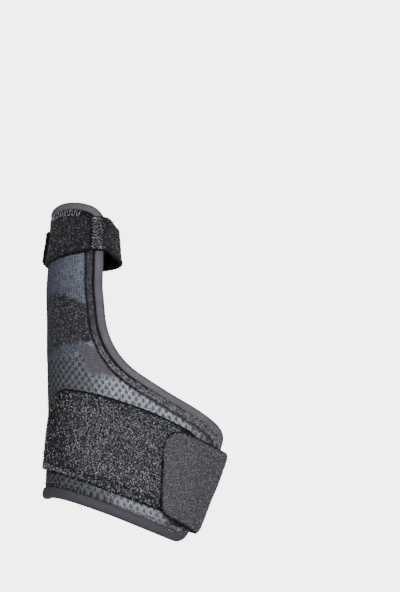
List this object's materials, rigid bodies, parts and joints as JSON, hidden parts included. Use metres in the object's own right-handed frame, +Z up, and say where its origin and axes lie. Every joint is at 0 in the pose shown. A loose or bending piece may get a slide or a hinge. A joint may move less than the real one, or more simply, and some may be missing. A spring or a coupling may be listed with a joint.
{
  "type": "thumb spica splint",
  "caption": "Knitted thumb and wrist splint in its worn shape, with bound edges, loop-faced panels, a wide wrist strap and a narrow thumb strap.",
  "frame": {"origin": "centre of the wrist opening's rim", "axes": "+Z up along the thumb, -Y out of the back of the hand, +X to the little-finger side"},
  "size_m": [0.0821, 0.0576, 0.1493],
  "materials": {
    "wrap_knit": "matte jacquard knit in slate, charcoal and blue-grey, with mesh zones",
    "binding_tape": "smooth matte folded tape with coverstitch",
    "panel_loop": "black brushed loop fabric",
    "patch_loop": "black brushed loop fabric",
    "wrist_strap_fabric": "grey brushed loop fabric",
    "thumb_strap_fabric": "black brushed loop fabric"
  },
  "bodies": {
    "root": {"body_wrap": "wrap_knit", "edge_binding": "binding_tape", "wrist_loop_panel": "panel_loop", "thumb_loop_patch": "patch_loop", "wrist_strap": "wrist_strap_fabric", "thumb_strap": "thumb_strap_fabric"}
  },
  "joints": []
}
